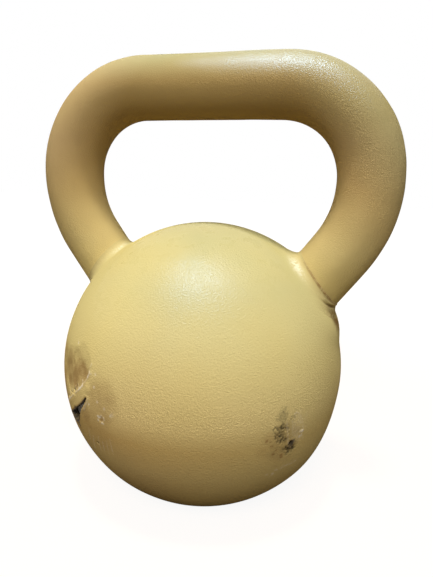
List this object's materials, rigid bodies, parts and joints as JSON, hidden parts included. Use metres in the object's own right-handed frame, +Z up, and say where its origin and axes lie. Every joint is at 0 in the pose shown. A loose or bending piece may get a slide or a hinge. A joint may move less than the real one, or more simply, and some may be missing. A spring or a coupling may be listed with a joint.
{
  "type": "kettlebell",
  "caption": "Round kettlebell with a bent bar handle set into an iron ball, a thick torn vinyl skin and a flat base to stand on.",
  "frame": {"origin": "centre of the flat base, on the surface that the bell stands on", "axes": "+X along the grip to the right as seen from the front, +Y to the back, +Z up"},
  "size_m": [0.1994, 0.16, 0.2339],
  "materials": {
    "core_iron": "rough as cast, dark grey",
    "handle_coat": "fine grained ochre powder coat on steel",
    "weld_coat": "ochre coat over a lumpy weld",
    "jacket_vinyl": "pebbled satin ochre vinyl, scuffed and torn"
  },
  "bodies": {
    "root": {"ball_core": "core_iron", "handle": "handle_coat", "left_weld_collar": "weld_coat", "right_weld_collar": "weld_coat", "ball_jacket": "jacket_vinyl"}
  },
  "joints": []
}
